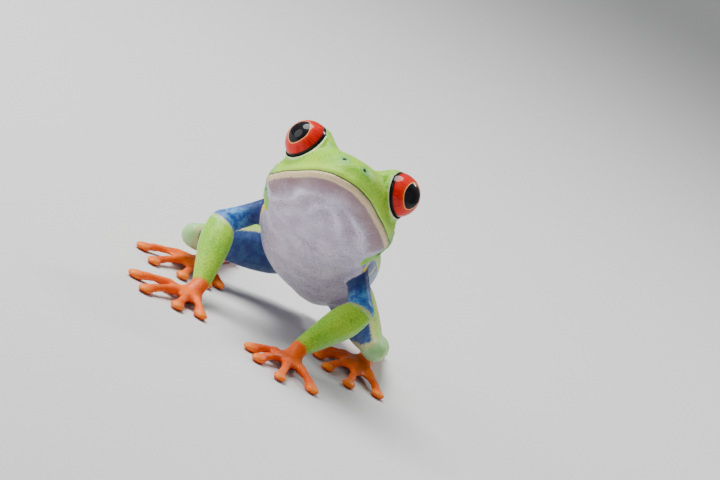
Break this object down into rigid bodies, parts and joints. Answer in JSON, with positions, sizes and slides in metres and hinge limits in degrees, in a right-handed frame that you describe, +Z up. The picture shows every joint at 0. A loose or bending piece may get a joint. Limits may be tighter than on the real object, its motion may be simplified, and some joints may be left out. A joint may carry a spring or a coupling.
{
  "type": "red-eyed tree frog",
  "caption": "Life-size red-eyed tree frog sitting up on the floor, head raised, legs folded, toes spread.",
  "frame": {"origin": "on the floor, under the middle of the frog's outline seen from above", "axes": "+Z up, the frog faces -Y, its left side is towards +X"},
  "size_m": [0.0492, 0.0628, 0.0361],
  "materials": {
    "skin_green": "moist satin skin, finely grained",
    "skin_pale": "moist satin skin, finely grained",
    "skin_blue": "moist satin skin",
    "skin_orange": "moist satin skin",
    "eye_red": "wet gloss"
  },
  "bodies": {
    "root": {"head": "skin_green", "lower_jaw": "skin_pale", "trunk": "skin_green", "eye_left": "eye_red", "eye_right": "eye_red", "upper_arm_left": "skin_blue", "upper_arm_right": "skin_blue", "forearm_left": "skin_green", "forearm_right": "skin_green", "hand_left": "skin_orange", "hand_right": "skin_orange", "thigh_left": "skin_blue", "thigh_right": "skin_blue", "shank_left": "skin_green", "shank_right": "skin_green", "tarsus_left": "skin_orange", "tarsus_right": "skin_orange", "foot_left": "skin_orange", "foot_right": "skin_orange"}
  },
  "joints": []
}
